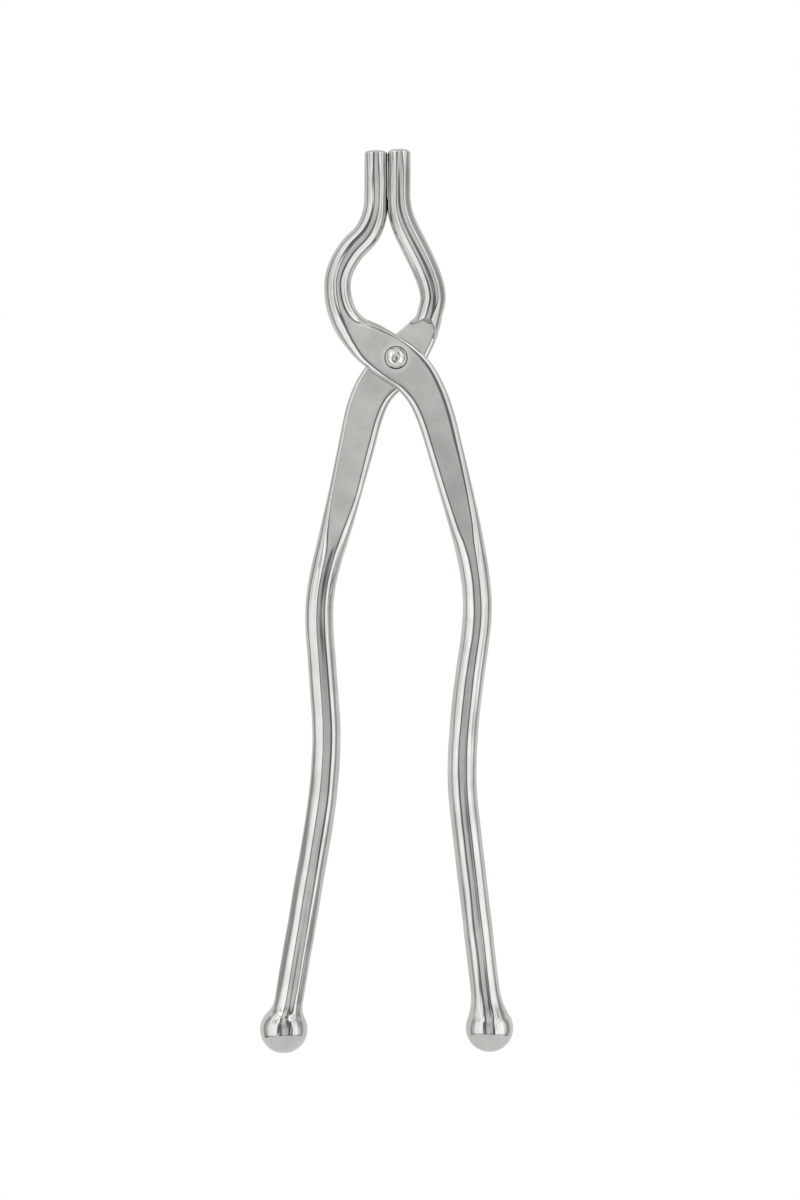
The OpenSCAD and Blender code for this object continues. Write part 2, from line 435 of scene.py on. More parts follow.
@dataclass
class Arm:
    """One arm of the tongs: a bar with a ball, a handle, a pressed stretch and a jaw.

    With a shoulder, the arm's own sections end there and the jaw has sections of its own.
    """

    name: str
    body: str
    side: Side
    route: tuple[Bend, ...]
    sections: tuple[Section, ...]
    ball: BallEnd
    tip: JawTip
    bore: float
    mid: float
    ripple_seed: int
    jaw_sections: tuple[Section, ...] = ()
    shoulder: Shoulder | None = None
    sides: int = 196
    step: float = 0.85
    fine_step: float = 0.09
    fine_from: float = 9.0
    fine_to: float = 15.6
    tip_rings: int = 12
    pressed_from: float = -60.0
    pressed_to: float = 22.0
    calm: float = 0.85
    piece: bpy.types.Object | None = field(default=None, init=False)

    def centre_line(self, spacing: float) -> tuple[np.ndarray, np.ndarray]:
        """The centre line as closely spaced points, with each point's distance from the pivot.

        Between two bends a point eases from one to the other, plus t (1 - t)^2 along the
        heading it leaves by and minus t^2 (1 - t) along the heading it arrives by.

        Args:
            spacing: The distance between points.

        Returns:
            The points, and their distances along the line, the pivot's being 0.
        """
        parts = []
        for a, b in zip(self.route[:-1], self.route[1:]):
            start, end = np.array([a.x, a.y]), np.array([b.x, b.y])
            reach = np.linalg.norm(end - start)
            leave, arrive = reach * a.way(), reach * b.way()
            t = np.linspace(0.0, 1.0, int(reach / spacing) + 2)[:-1, None]
            eased = t * t * (3 - 2 * t)
            swerve = t * (1 - t) ** 2 * leave - t * t * (1 - t) * arrive
            parts.append((1 - eased) * start + eased * end + swerve)
        line = np.concatenate([*parts, [[self.route[-1].x, self.route[-1].y]]])
        run = np.r_[0.0, np.cumsum(np.linalg.norm(np.diff(line, axis=0), axis=1))]
        pivot = run[np.argmin(np.linalg.norm(line, axis=1))]
        return line, run - pivot

    def ring_places(self, run: np.ndarray) -> np.ndarray:
        """Places the rings: close together on the ball, the shoulder and the tip's end.

        Args:
            run: Distances of the centre line's own points.

        Returns:
            The rings' distances from the pivot, rising.
        """
        start = run[0] - self.ball.diameter / 2
        radius = self.ball.diameter / 2
        turn = np.linspace(0.0, np.radians(128.0), 40)[1:]
        ball = start + radius * (1 - np.cos(turn))
        end = run[-1] - self.tip.dome - self.tip.rounding_length
        plain = np.arange(ball[-1] + self.step, end, self.step)
        fine = np.arange(self.fine_from, self.fine_to, self.fine_step)
        plain = plain[(plain < self.fine_from) | (plain > self.fine_to)]
        before, _ = self.tip.profile(self.tip_rings)
        return np.sort(np.r_[ball, plain, fine, run[-1] - before])

    def ring_sizes(
        self, sections: tuple[Section, ...], at: np.ndarray, run: np.ndarray
    ) -> np.ndarray:
        """The sizes at these distances, with the ball's and the tip's own radii at the ends.

        Args:
            sections: The sections that the sizes pass through.
            at: Distances from the pivot.
            run: Distances of the centre line's own points.

        Returns:
            The sizes, on the last axis.
        """
        knots = np.array([s.at for s in sections])
        sizes = smooth_through(knots, np.array([s.sizes() for s in sections]), at)
        from_pole = at - (run[0] - self.ball.diameter / 2)
        on_ball = from_pole < self.ball.length()
        before, radius = self.tip.profile(self.tip_rings)
        on_tip = at > run[-1] - before[0]
        tip_radius = np.interp(run[-1] - at, before[::-1], radius[::-1])
        r = np.where(on_ball, self.ball.radius(from_pole), tip_radius)
        turned = np.concatenate([np.stack([2 * r, -r, r], -1), np.repeat(r[..., None], 12, -1)], -1)
        return np.where((on_ball | on_tip)[..., None], turned, sizes)

    def ripple(self, at: np.ndarray, share: np.ndarray) -> np.ndarray:
        """The hand-finished unevenness: slow waves along the bar and long facets round it.

        Args:
            at: Distances from the pivot.
            share: Places round the section, from 0 to 1.

        Returns:
            Heights above the plain surface, each a sum of sines.
        """
        draw = np.random.default_rng(self.ripple_seed)
        total = np.zeros(np.broadcast_shapes(at.shape, share.shape))
        for _ in range(14):
            length, lobes = draw.uniform(5.0, 26.0), draw.integers(0, 4)
            phase, swing = draw.uniform(0, 2 * np.pi), draw.uniform(0.4, 1.0)
            wave = np.sin(2 * np.pi * (at / length + lobes * share) + phase)
            total += WAVE_SLOPE * swing * length * wave
        for _ in range(10):
            length, lobes = draw.uniform(60.0, 240.0), draw.integers(5, 15)
            phase, swing = draw.uniform(0, 2 * np.pi), draw.uniform(0.4, 1.0)
            wander = phase + FACET_WANDER * np.sin(2 * np.pi * at / length + 2 * phase)
            total += FACET_DEPTH * swing / lobes * np.sin(2 * np.pi * lobes * share + wander)
        return total

    def unevenness(self, at: np.ndarray, run: np.ndarray) -> np.ndarray:
        """How much ripple there is: none on the ball and the tip, little on the pressed face.

        Args:
            at: Distances from the pivot.
            run: Distances of the centre line's own points.

        Returns:
            Shares from 0 to 1.
        """
        grown = np.clip((at - run[0]) / AFTER_BALL, 0.0, 1.0)
        fade = grown * np.clip((run[-1] - PLAIN_TIP - at) / BEFORE_TIP, 0.0, 1.0)
        rise = np.clip((at - self.pressed_from) / INTO_PRESSED, 0.0, 1.0)
        fall = np.clip((self.pressed_to - at) / OUT_OF_PRESSED, 0.0, 1.0)
        return fade * (1 - self.calm * rise * fall)

    def build(self) -> None:
        """Makes the arm's mesh: sections carried along the centre line.

        A point lies at the centre line, plus its distance across along the bar's right-hand
        direction, plus its level above the plane where the arms meet.
        """
        line, run = self.centre_line(0.05)
        at = self.ring_places(run)
        tangent = smooth_rows(np.gradient(line, run, axis=0), 9)
        straight = np.clip(at, run[0], run[-1])
        place = np.stack([np.interp(straight, run, line[:, i]) for i in (0, 1)], -1)
        way = np.stack([np.interp(straight, run, tangent[:, i]) for i in (0, 1)], -1)
        way /= np.linalg.norm(way, axis=1, keepdims=True)
        place += (at - straight)[:, None] * way
        share = (np.arange(self.sides) + 0.5) / self.sides
        grid = np.broadcast_to(at[:, None], (len(at), self.sides))
        shares = np.broadcast_to(share, grid.shape)
        flat, out = section_points(self.ring_sizes(self.sections, grid, run), shares)
        if self.shoulder is not None:
            plain, plain_out = section_points(self.ring_sizes(self.jaw_sections, grid, run), shares)
            weight = self.shoulder.share_of_bar(grid, flat[..., 0])[..., None]
            flat = (1 - weight) * flat + weight * plain
            out = (1 - weight) * out + weight * plain_out
        raised = self.ripple(grid, shares) * self.unevenness(at, run)[:, None]
        flat = flat + out * raised[..., None]
        right = np.stack([way[:, 1], -way[:, 0]], -1)
        level = self.mid + self.side.value * flat[..., 1]
        spot = place[:, None] + flat[..., :1] * right[:, None]
        rings = np.concatenate([spot, level[..., None]], -1) * MM
        start = np.r_[place[0] - (at[0] - run[0] + self.ball.diameter / 2) * way[0], self.mid] * MM
        end = np.r_[line[-1], self.mid] * MM
        self.piece = closed_mesh(self.name + "_forged", rings, start, end)
        along = np.concatenate([grid[..., None], flat], -1).reshape(-1, 3)
        poles = [[run[0] - self.ball.diameter / 2, 0, 0], [run[-1], 0, 0]]
        store_vectors(self.piece, "bar_place", np.concatenate([along, poles]) * MM)

    def finish(self, finish: "Finish") -> None:
        """Puts the finish on, hides the imported part of the same name, and hangs the arm on its
        body.

        Args:
            finish: The finish.
        """
        self.piece.data.materials.append(finish.material())
        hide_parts(self.name)
        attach(self.piece, self.body)


def smooth_rows(rows: np.ndarray, width: int) -> np.ndarray:
    """Rows averaged with their neighbours, the ends repeated outwards.

    Args:
        rows: The rows.
        width: How many rows each average takes in, an odd number.

    Returns:
        As many rows, smoother.
    """
    kernel = np.hanning(width + 2)[1:-1]
    kernel /= kernel.sum()
    padded = np.pad(rows, ((width // 2, width // 2), (0, 0)), mode="edge")
    return np.stack([np.convolve(padded[:, i], kernel, "valid") for i in range(rows.shape[1])], -1)


def ahead(x: float, y: float, heading: float, distance: float) -> tuple[float, float]:
    """The point at a distance from another, along a heading in degrees."""
    turn = np.radians(heading)
    return x + distance * float(np.cos(turn)), y + distance * float(np.sin(turn))


def front_arm(mid: float) -> Arm:
    """The arm in front: from the lower right handle, over the crossing, to the left jaw.

    Args:
        mid: The level of the plane where the arms meet.

    Returns:
        The arm, not yet built.
    """
    tip = JawTip(diameter=6.35, rounding=1.1, rounding_length=0.9)
    heading = 96.6
    ball_x, ball_y = ahead(19.6, -131.0, heading, -54.6)
    tip_x = GRIP_X - tip.diameter / 2 - TIP_GAP
    plain = Corner.even(BAR / 2)
    route = (
        Bend(ball_x, ball_y, heading),
        Bend(19.6, -131.0, heading),
        Bend(18.3, -114.5, 90.0),
        Bend(20.5, -87.0, 82.5),
        Bend(22.5, -69.0, 90.0),
        Bend(19.0, -46.0, 104.0),
        Bend(12.4, -21.0, 105.0),
        Bend(5.1, -5.0, 131.0),
        Bend(-0.5, -0.5, 146.0),
        Bend(-10.4, 6.6, 141.0),
        Bend(-13.3, 9.8, 125.0),
        Bend(-16.2, 20.5, 88.0),
        Bend(-12.3, 30.0, 53.0),
        Bend(-8.4, 34.2, 52.0),
        Bend(-5.85, 40.3, 79.0),
        Bend(tip_x, EYE + 4.5, 90.0),
        Bend(tip_x, EYE + TIP_LENGTH - 0.4, 90.0),
    )
    near = Corner(0.6, 1.0, 1.4)
    sections = (
        round_section(-200.0, BAR),
        round_section(-66.0, BAR),
        Section(-57.0, 8.3, -3.7, 4.0, Corner(3.7, 3.8, 4.0), Corner(3.7, 3.7, 3.8), plain, plain),
        Section(-50.7, 8.7, -3.0, 4.0, Corner(3.2, 3.0, 2.9), Corner(3.2, 2.9, 2.8), *pair(2.8)),
        Section(-38.0, 9.4, -1.8, 4.05, Corner(3.0, 2.5, 2.1), Corner(3.6, 2.2, 1.7), *pair(2.0)),
        Section(-24.8, 10.1, -0.7, 4.08, Corner(3.4, 2.4, 1.9), Corner(5.6, 2.0, 1.2), near, near),
        Section(-13.5, 10.9, -0.1, 4.08, Corner(3.4, 2.3, 1.8), Corner(5.4, 2.0, 1.2), near, near),
        Section(-7.1, 11.8, 0.075, 4.08, Corner(3.4, 2.0, 1.6), Corner(5.0, 2.0, 1.1), near, near),
        Section(0.1, 12.4, 0.075, 4.08, Corner(2.7, 1.9, 1.3), Corner(2.7, 1.6, 1.0), near, near),
        Section(7.0, 11.9, 0.075, 4.08, Corner(3.3, 2.2, 1.7), Corner(2.4, 3.0, 1.7), near, near),
        Section(10.5, 10.9, 0.075, 4.08, Corner(4.0, 2.8, 2.4), Corner(2.2, 3.6, 2.2), near, near),
        Section(12.6, 9.9, -0.15, 4.06, Corner(4.2, 3.3, 2.9), Corner(2.4, 3.8, 2.6), near, near),
        Section(14.3, 9.15, -1.7, 4.0, Corner(4.2, 3.6, 3.3), Corner.even(4.0), *pair(2.4)),
        Section(16.6, 8.5, -3.8, 4.0, Corner(4.2, 3.9, 3.8), Corner.even(4.0), *pair(4.0)),
        round_section(21.0, 7.8),
        round_section(27.9, BOW),
        round_section(38.3, BOW + 0.1),
        round_section(44.1, BOW),
        round_section(50.7, 6.95),
        round_section(56.2, tip.diameter),
        round_section(80.0, tip.diameter),
    )
    return Arm(
        name="front_arm",
        body="front_half",
        side=Side.FRONT,
        route=route,
        sections=sections,
        ball=BallEnd(fillet=18.0),
        tip=tip,
        bore=4.16,
        mid=mid,
        ripple_seed=11,
    )


def rear_arm(mid: float) -> Arm:
    """The arm behind: from the lower left handle, under the crossing, to the right jaw.

    Args:
        mid: The level of the plane where the arms meet.

    Returns:
        The arm, not yet built.
    """
    tip = JawTip(diameter=6.35, rounding=1.4, rounding_length=1.1)
    heading = 80.3
    ball_x, ball_y = ahead(-21.9, -132.0, heading, -54.4)
    tip_x = GRIP_X + tip.diameter / 2 + TIP_GAP
    plain = Corner.even(BAR / 2)
    route = (
        Bend(ball_x, ball_y, heading),
        Bend(-21.9, -132.0, heading),
        Bend(-19.3, -104.5, 90.0),
        Bend(-20.4, -86.0, 94.0),
        Bend(-21.3, -70.5, 90.0),
        Bend(-17.6, -50.5, 74.5),
        Bend(-10.9, -23.8, 76.5),
        Bend(-6.2, -8.8, 60.0),
        Bend(1.0, -0.4, 50.0),
        Bend(8.23, 9.14, 61.0),
        Bend(9.43, 12.74, 78.0),
        Bend(10.2, 16.7, 91.0),
        Bend(8.0, 25.0, 113.0),
        Bend(3.8, 33.5, 117.0),
        Bend(1.27, 40.0, 103.0),
        Bend(tip_x, EYE + 5.0, 90.0),
        Bend(tip_x, EYE + TIP_LENGTH, 90.0),
    )
    far = Corner(0.8, 1.2, 1.6)
    sections = (
        round_section(-200.0, BAR),
        round_section(-100.0, BAR - 0.1),
        round_section(-66.0, BAR - 0.2),
        Section(-58.5, 8.0, -3.8, 3.95, plain, plain, *pair(3.9)),
        Section(-53.0, 8.4, -3.2, 3.95, *pair(3.2), Corner(2.8, 2.9, 3.2), Corner(3.3, 3.3, 3.2)),
        Section(-47.0, 8.8, -2.5, 3.95, *pair(2.8), Corner(1.4, 2.0, 2.6), Corner(2.9, 2.6, 2.4)),
        Section(-40.0, 9.1, -1.9, 4.0, *pair(2.4), Corner(0.8, 1.4, 1.9), Corner(2.7, 1.8, 1.6)),
        Section(-26.5, 10.1, -0.75, 4.05, far, far, Corner(0.9, 1.5, 1.6), Corner(3.4, 2.3, 2.0)),
        Section(-10.7, 11.1, 0.075, 4.08, far, far, Corner(0.8, 1.3, 1.5), Corner(3.6, 2.0, 1.8)),
        Section(0.4, 12.4, 0.075, 4.08, far, far, Corner(0.6, 0.8, 1.2), Corner(2.0, 1.4, 1.6)),
        Section(9.0, 9.6, 0.075, 4.08, far, far, Corner(0.5, 0.6, 0.8), Corner(1.4, 1.4, 1.6)),
        Section(13.2, 7.6, 0.075, 4.0, far, far, Corner(0.5, 0.6, 0.8), Corner(1.2, 1.4, 1.6)),
        Section(17.0, 7.0, 0.075, 3.8, far, far, Corner(0.5, 0.6, 0.8), Corner(1.2, 1.4, 1.6)),
    )
    jaw_sections = (
        round_section(10.5, 9.0),
        round_section(13.2, 7.6),
        round_section(16.2, 7.05),
        round_section(20.2, BOW - 0.2),
        round_section(28.8, BOW),
        round_section(38.3, BOW),
        round_section(45.3, 7.0),
        round_section(51.4, tip.diameter),
        round_section(80.0, tip.diameter),
    )
    return Arm(
        name="rear_arm",
        body="rear_half",
        side=Side.REAR,
        route=route,
        sections=sections,
        jaw_sections=jaw_sections,
        ball=BallEnd(fillet=6.0, neck_lip=0.06),
        tip=tip,
        shoulder=Shoulder(at=13.2, run=1.0, radius=3.9),
        bore=4.0,
        mid=mid,
        ripple_seed=23,
    )


# ---- Rivet -------------------------------------------------------------------------------


@dataclass
class PivotRivet:
    """The rivet: a domed head in front, a shank, and a flatter head behind.

    Far is the distance of the arms' far faces from the plane where the arms meet, play is the
    gap under the front head, flat is the height that the back head lacks at its middle, and
    rim is the height of the front head's edge.
    """

    mid: float
    far: float = 4.075
    head_diameter: float = 6.0
    head_height: float = 2.3
    play: float = 0.15
    shank: float = 4.0
    flat: float = 0.35
    rim: float = 0.18
    sides: int = 128
    dent: float = 0.03
    dent_seed: int = 5
    piece: bpy.types.Object | None = field(default=None, init=False)

    def dents(self, x: np.ndarray, y: np.ndarray) -> np.ndarray:
        """The hammer's unevenness on the dome: a sum of short waves across it.

        Args:
            x: Places across, in millimetres.
            y: Places along the tongs.

        Returns:
            Depths, some of them negative.
        """
        draw = np.random.default_rng(self.dent_seed)
        total = np.zeros_like(x)
        for _ in range(9):
            length, turn = draw.uniform(1.6, 3.6), draw.uniform(0, np.pi)
            phase = draw.uniform(0, 2 * np.pi)
            run = x * np.cos(turn) + y * np.sin(turn)
            total += length / 2.5 * np.sin(2 * np.pi * run / length + phase)
        return self.dent * total

    def dome(self, height: float, count: int) -> tuple[np.ndarray, np.ndarray]:
        """A spherical cap on the head's diameter.

        Args:
            height: The cap's height.
            count: The number of points from its rim to its top.

        Returns:
            The points' radii and heights.
        """
        half = self.head_diameter / 2
        ball = (half**2 + height**2) / (2 * height)
        turn = np.linspace(np.arcsin(min(1.0, half / ball)), 0.0, count)
        return ball * np.sin(turn), height - ball * (1 - np.cos(turn))

    def outline(self) -> tuple[np.ndarray, np.ndarray]:
        """The whole rivet's outline, from the back head's flat to the front head's top.

        Returns:
            Radii and levels.
        """
        back_height = self.mid - self.far
        radius, height = self.dome(back_height + self.flat, 60)
        keep = height < back_height
        flat_radius = np.interp(back_height, height, radius)
        back_r = np.r_[np.linspace(0.1, 1.0, 6) * flat_radius, radius[keep][::-1]]
        back_z = np.r_[np.zeros(6), (back_height - height[keep])[::-1]]
        seat = self.mid + self.far + self.play
        shank_r = np.full(12, self.shank / 2)
        shank_z = np.linspace(back_height, seat, 12)
        front_r, front_h = self.dome(self.head_height, 48)
        half, turned_under = self.head_diameter / 2, self.rim * 0.3
        front_r = np.r_[half - self.rim, half - turned_under, front_r]
        front_h = np.minimum(np.r_[0.0, turned_under, front_h + self.rim], self.head_height)
        return np.r_[back_r, shank_r, front_r[:-1]], np.r_[back_z, shank_z, seat + front_h[:-1]]

    def build(self) -> None:
        """Makes the rivet: its outline turned about the pivot's axis.

        A point at turn t and radius r lies at (r cos t, r sin t, level - dent).
        """
        radius, level = self.outline()
        turn = 2 * np.pi * np.arange(self.sides) / self.sides
        x, y = radius[:, None] * np.cos(turn), radius[:, None] * np.sin(turn)
        top = self.mid + self.far + self.play + self.head_height
        inside = np.clip(1.25 - np.hypot(x, y) / self.head_diameter * 2, 0.0, 1.0)
        raised = np.clip((level - top + self.head_height) / 0.5, 0.0, 1.0)[:, None]
        hollow = np.abs(self.dents(x, y)) * inside * raised
        rings = np.stack([x, y, level[:, None] - hollow], -1) * MM
        top -= float(np.abs(self.dents(np.zeros(1), np.zeros(1)))[0])
        pole = np.array([0, 0, top]) * MM
        self.piece = closed_mesh("pivot_rivet_turned", rings, np.zeros(3), pole)

    def finish(self, finish: "Finish") -> None:
        """Puts the finish on, hides the imported rivet, and hangs the rivet on the rear body.

        Args:
            finish: The finish.
        """
        self.piece.data.materials.append(finish.material())
        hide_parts("pivot_rivet")
        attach(self.piece, "rear_half")


# ---- Finishes ----------------------------------------------------------------------------


class Nodes:
    """Builds a shader from nodes, a short call for each node."""

    def __init__(self, tree: bpy.types.NodeTree) -> None:
        """Starts with the tree's own nodes cleared."""
        self.tree = tree
        tree.nodes.clear()

    def add(self, kind: str, inputs: dict | None = None, **settings: object) -> bpy.types.Node:
        """Adds a node.

        Args:
            kind: The node's type.
            inputs: Values or output sockets for its inputs, by name or by number.
            settings: The node's own settings.

        Returns:
            The node.
        """
        node = self.tree.nodes.new(kind)
        for name, value in settings.items():
            setattr(node, name, value)
        for name, value in (inputs or {}).items():
            if isinstance(value, bpy.types.NodeSocket):
                self.tree.links.new(value, node.inputs[name])
            else:
                node.inputs[name].default_value = value
        return node

    def math(self, operation: str, *values: object) -> bpy.types.NodeSocket:
        """The result of a Math node on these values or sockets."""
        inputs = dict(enumerate(values))
        return self.add("ShaderNodeMath", inputs, operation=operation).outputs[0]

    def ramp(
        self,
        value: bpy.types.NodeSocket,
        low: float,
        high: float,
        to_low: float,
        to_high: float,
        smooth: bool = True,
    ) -> bpy.types.NodeSocket:
        """Maps a value from one range to another, held at the ends.

        Args:
            value: The value.
            low: Where the first range starts.
            high: Where it ends.
            to_low: What its start becomes.
            to_high: What its end becomes.
            smooth: Whether it eases in and out.

        Returns:
            The mapped value.
        """
        kind = "SMOOTHSTEP" if smooth else "LINEAR"
        names = ("Value", "From Min", "From Max", "To Min", "To Max")
        inputs = dict(zip(names, (value, low, high, to_low, to_high)))
        return self.add("ShaderNodeMapRange", inputs, interpolation_type=kind).outputs[0]

    def blend(
        self, amount: bpy.types.NodeSocket, base: object, colour: tuple[float, float, float]
    ) -> bpy.types.NodeSocket:
        """Blends a colour into another.

        Args:
            amount: How much of it, from 0 to 1.
            base: The colour under it, as a socket or as four numbers.
            colour: The colour that goes in.

        Returns:
            The blended colour.
        """
        inputs = {"Factor": amount, 6: base, 7: (*colour, 1.0)}
        return self.add("ShaderNodeMix", inputs, data_type="RGBA").outputs[2]

    def object_place(self) -> bpy.types.NodeSocket:
        """The place on the piece, in its own coordinates."""
        return self.add("ShaderNodeTexCoord").outputs["Object"]

    def noise(
        self,
        place: bpy.types.NodeSocket,
        repeats: float | tuple[float, float, float],
        detail: float,
    ) -> bpy.types.NodeSocket:
        """Smooth noise from 0 to 1.

        Args:
            place: Where it is read.
            repeats: Its repeats for each metre, one number or one along each axis.
            detail: How many finer layers lie on it.

        Returns:
            The noise.
        """
        scale = 1.0 if isinstance(repeats, tuple) else repeats
        if isinstance(repeats, tuple):
            place = self.add("ShaderNodeMapping", {"Vector": place, "Scale": repeats}).outputs[0]
        inputs = {"Vector": place, "Scale": scale, "Detail": detail}
        return self.add("ShaderNodeTexNoise", inputs).outputs[0]


# Repeats for each metre of the lines that polishing and drawing leave, along the bar and across
POLISH_LINES, DRAWN_LINES = (90.0, 4200.0, 4200.0), (7.0, 950.0, 950.0)
# Repeats for each metre of the clouding, the grain and the scuffs
CLOUDS, GRAIN, SCUFFS = 160.0, 2600.0, 420.0
# Depths of the polish's lines and of the drawn facets, in metres; and how much the grain and
# the scuffs add to the polish's lines
POLISH_DEPTH, DRAWN_DEPTH, GRAIN_SHARE, SCUFF_SHARE = 2e-6, 1.5e-4, 1.3, -1.5
# A scuff fades out between these distances from its middle, and in between these cloud greys
SCUFF_SIZE, SCUFF_CLOUD = (0.04, 0.12), (0.58, 0.70)
# Cloud greys for the dark and the light tone; and grain greys, with the roughness they add
TONE_CLOUD, WORN = (0.3, 0.7), (0.35, 0.65, -0.012, 0.022)
# Roughness that a scuff and the painted shade ring round the rivet's head add
SCUFF_ROUGH, RIVET_RING_SHADE_ROUGH = 0.25, 0.4
# Stretches of the bar where the drawn facets fade out before the pressed face and in after it
FADE_OUT, FADE_IN = (-64.0 * MM, -50.0 * MM), (15.0 * MM, 21.0 * MM)
# Stretch over which the line of the bite starts; and the distances from that line over which
# # the painted shade between the tips and the plain metal along it fade
BITE, TIP_GAP_SHADE_FADE, PLAIN_FADE = (37.0 * MM, 42.0 * MM), (0.10, 0.26), (0.5, 1.3)
# Radii over which the painted highlight ring round the rivet's head fades, and its strength at the
# head
RIVET_RING_HIGHLIGHT = (3.3 * MM, 4.9 * MM, 0.5)
# Colours of the painted shade round the rivet's head, of the painted shade between the tips, and of
# the painted highlight ring round the rivet's head
RIVET_RING_PAINTED_SHADE, TIP_GAP_PAINTED_SHADE, RIVET_RING_HIGHLIGHT_COLOUR = (0.03, 0.03, 0.028), (0.08, 0.08, 0.076), (0.86, 0.86, 0.82)


@dataclass(frozen=True)
class Finish:
    """Polished steel: fine lines along the bar, faint clouding, small scuffs, and painted shade that
    darkens the crevices.

    The ring is the groove round the rivet's head: where its painted shade starts and ends, as radii,
    and over what width it fades. Around it the steel is painted a little brighter, as a painted
    highlight.
    """

    name: str
    dark: tuple[float, float, float]
    light: tuple[float, float, float]
    roughness: float
    line_bump: float
    uses_bar_place: bool
    ring: tuple[float, float, float]
    facets: float = 0.75

    def material(self) -> bpy.types.Material:
        """Makes the material.

        Returns:
            The material, which reads bar_place on the arms and object coordinates elsewhere.
        """
        material = bpy.data.materials.new(self.name)
        material.use_nodes = True
        nodes = Nodes(material.node_tree)
        if self.uses_bar_place:
            place = nodes.add("ShaderNodeAttribute", attribute_name="bar_place").outputs["Vector"]
        else:
            place = nodes.object_place()
        lines = nodes.noise(place, POLISH_LINES, 3.0)
        cloud = nodes.noise(place, CLOUDS, 4.0)
        grain = nodes.noise(place, GRAIN, 2.0)
        scuff_inputs = {"Vector": place, "Scale": SCUFFS, "Randomness": 1.0}
        scuff = nodes.add("ShaderNodeTexVoronoi", scuff_inputs).outputs["Distance"]
        pit = nodes.ramp(scuff, *SCUFF_SIZE, 1.0, 0.0)
        mark = nodes.math("MULTIPLY", pit, nodes.ramp(cloud, *SCUFF_CLOUD, 0.0, 1.0))
        tone = nodes.ramp(cloud, *TONE_CLOUD, 0.0, 1.0)
        base = nodes.blend(tone, (*self.dark, 1.0), self.light)
        worn = nodes.ramp(grain, *WORN, smooth=False)
        marked = nodes.math("MULTIPLY_ADD", mark, SCUFF_ROUGH, self.roughness)
        rough = nodes.math("ADD", marked, worn)
        base, rough = self.darken_ring(nodes, base, rough)
        rubbed = nodes.math("MULTIPLY_ADD", grain, GRAIN_SHARE, lines)
        height = nodes.math("MULTIPLY_ADD", mark, SCUFF_SHARE, rubbed)
        inputs = {"Height": height, "Strength": self.line_bump, "Distance": POLISH_DEPTH}
        bump = nodes.add("ShaderNodeBump", inputs)
        if self.uses_bar_place:
            # Painted shade: the jaw tips' facing sides are darkened in the colour along the line
            # where they meet
            base = nodes.blend(self.by_bite(nodes, *TIP_GAP_SHADE_FADE), base, TIP_GAP_PAINTED_SHADE)
            bump = self.drawn_lines(nodes, place, bump)
        inputs = {"Base Color": base, "Metallic": 1.0, "Roughness": rough, "Normal": bump.outputs[0]}
        shader = nodes.add("ShaderNodeBsdfPrincipled", inputs)
        nodes.add("ShaderNodeOutputMaterial", {"Surface": shader.outputs[0]})
        return material

    def drawn_lines(
        self, nodes: Nodes, place: bpy.types.NodeSocket, polish: bpy.types.Node
    ) -> bpy.types.Node:
        """Long shallow facets that drawing and filing leave along the round bars, not on the flats.

        Args:
            nodes: The material's nodes.
            place: The place on the bar.
            polish: The polish's bump, which goes under the facets and stops at the bite.

        Returns:
            The bump that carries both.
        """
        along = nodes.add("ShaderNodeSeparateXYZ", {"Vector": place}).outputs[0]
        before = nodes.ramp(along, *FADE_OUT, 1.0, 0.0)
        after = nodes.ramp(along, *FADE_IN, 0.0, 1.0)
        bite = self.by_bite(nodes, *PLAIN_FADE)
        strength = nodes.math("MULTIPLY", nodes.math("ADD", before, after), self.facets)
        strength = nodes.math("MULTIPLY", strength, nodes.math("SUBTRACT", 1.0, bite))
        polish_strength = nodes.ramp(bite, 0.0, 1.0, self.line_bump, 0.0)
        nodes.tree.links.new(polish_strength, polish.inputs["Strength"])
        inputs = {
            "Height": nodes.noise(place, DRAWN_LINES, 0.6),
            "Strength": strength,
            "Distance": DRAWN_DEPTH,
            "Normal": polish.outputs[0],
        }
        return nodes.add("ShaderNodeBump", inputs)

    def darken_ring(
        self, nodes: Nodes, base: bpy.types.NodeSocket, rough: bpy.types.NodeSocket
    ) -> tuple[bpy.types.NodeSocket, bpy.types.NodeSocket]:
        """Painted shade in the groove round the rivet's head, and a painted highlight ring round
        that.

        Args:
            nodes: The material's nodes.
            base: The colour.
            rough: The roughness.

        Returns:
            The colour and the roughness with the ring in them.
        """
        inner, outer, soft = self.ring
        xyz = nodes.add("ShaderNodeSeparateXYZ", {"Vector": nodes.object_place()}).outputs
        flat = nodes.add("ShaderNodeCombineXYZ", {"X": xyz[0], "Y": xyz[1], "Z": 0.0}).outputs[0]
        radius = nodes.add("ShaderNodeVectorMath", {0: flat}, operation="LENGTH").outputs["Value"]
        rise = nodes.ramp(radius, (inner - soft) * MM, inner * MM, 0.0, 1.0)
        fall = nodes.ramp(radius, outer * MM, (outer + soft) * MM, 1.0, 0.0)
        amount = nodes.math("MULTIPLY", rise, fall)
        # Painted highlight: a lighter ring in the colour round the rivet's head
        base = nodes.blend(nodes.ramp(radius, *RIVET_RING_HIGHLIGHT, 0.0), base, RIVET_RING_HIGHLIGHT_COLOUR)
        rough = nodes.math("MULTIPLY_ADD", amount, RIVET_RING_SHADE_ROUGH, rough)
        # Painted shade: the groove round the rivet's head is darkened in the colour, and the steel
        # there is rougher
        return nodes.blend(amount, base, RIVET_RING_PAINTED_SHADE), rough

    def by_bite(self, nodes: Nodes, full: float, none: float) -> bpy.types.NodeSocket:
        """How near a point is to the line along which the tips bite.

        Args:
            nodes: The material's nodes.
            full: The distance from the line up to which it is 1.
            none: The distance from which it is 0.

        Returns:
            The nearness.
        """
        xyz = nodes.add("ShaderNodeSeparateXYZ", {"Vector": nodes.object_place()}).outputs
        off = nodes.math("ABSOLUTE", nodes.math("SUBTRACT", xyz[0], GRIP_X * MM))
        near = nodes.ramp(off, full * MM, none * MM, 1.0, 0.0)
        return nodes.math("MULTIPLY", near, nodes.ramp(xyz[1], *BITE, 0.0, 1.0))


# ---- Studio ------------------------------------------------------------------------------


